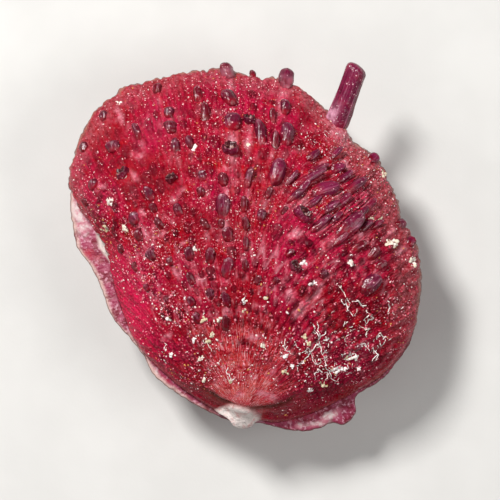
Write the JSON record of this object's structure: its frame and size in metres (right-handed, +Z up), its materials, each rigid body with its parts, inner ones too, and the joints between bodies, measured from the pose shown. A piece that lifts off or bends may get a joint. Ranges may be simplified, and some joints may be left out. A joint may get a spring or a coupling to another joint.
{
  "type": "spiny oyster shell",
  "caption": "Closed pair of domed, ribbed spiny oyster valves with blunt leaning spines, resting on the flat scar where the lower valve grew on rock.",
  "frame": {"origin": "centre of the bounding box in plan, on the plane of the flat scar that the shell rests on", "axes": "+Z up from the scar, +Y from the beak towards the opening edge"},
  "size_m": [0.0959, 0.1001, 0.0461],
  "materials": {
    "crimson_shell": "natural shell, satin, ribbed and spiny",
    "pink_shell": "natural shell, satin, leafy and ribbed, paler towards the scar"
  },
  "bodies": {
    "root": {"upper_valve": "crimson_shell", "lower_valve": "pink_shell"}
  },
  "joints": []
}
